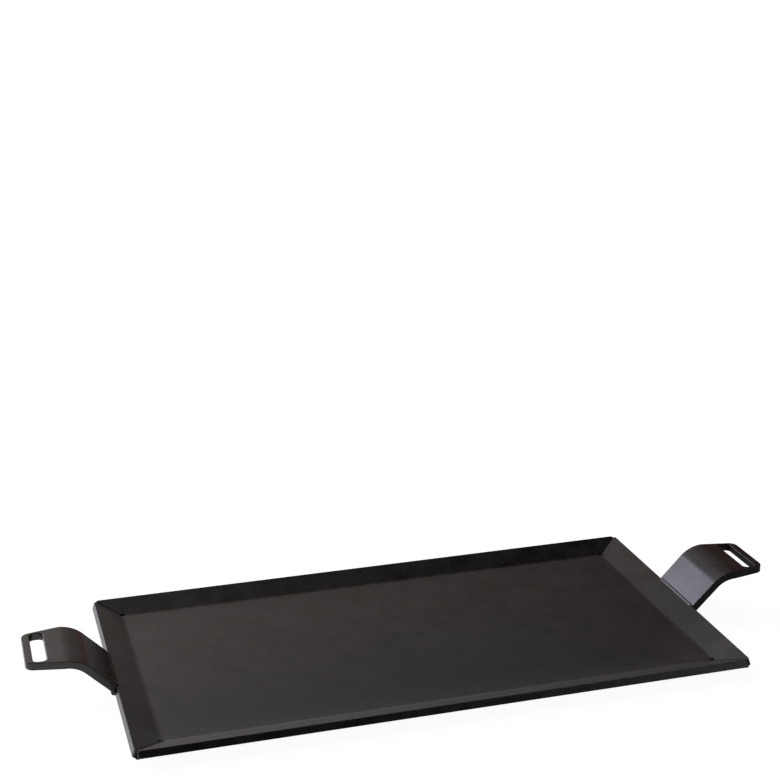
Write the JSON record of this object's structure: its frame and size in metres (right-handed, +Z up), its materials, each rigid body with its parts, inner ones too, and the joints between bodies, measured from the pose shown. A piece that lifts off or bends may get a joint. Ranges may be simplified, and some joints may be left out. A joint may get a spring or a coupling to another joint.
{
  "type": "camp griddle plate",
  "caption": "Rectangular steel griddle plate with shallow folded rims and an upswept flat bar handle, slotted for hanging, welded to each short end.",
  "frame": {"origin": "middle of the flat underside, on the surface that the griddle rests on", "axes": "+X along the length toward the right handle, +Y toward the back rim, +Z up"},
  "size_m": [0.5832, 0.2576, 0.0384],
  "materials": {
    "plate_steel": "seasoned carbon steel, dark brown-black, semi-gloss",
    "handle_steel": "seasoned carbon steel, dark brown-black, semi-gloss",
    "weld_metal": "seasoned weld bead, rippled, dark"
  },
  "bodies": {
    "root": {"griddle_plate": "plate_steel", "left_handle": "handle_steel", "right_handle": "handle_steel", "left_handle_top_weld": "weld_metal", "right_handle_top_weld": "weld_metal", "left_handle_under_weld": "weld_metal", "right_handle_under_weld": "weld_metal", "front_left_corner_weld": "weld_metal", "front_right_corner_weld": "weld_metal", "back_left_corner_weld": "weld_metal", "back_right_corner_weld": "weld_metal"}
  },
  "joints": []
}
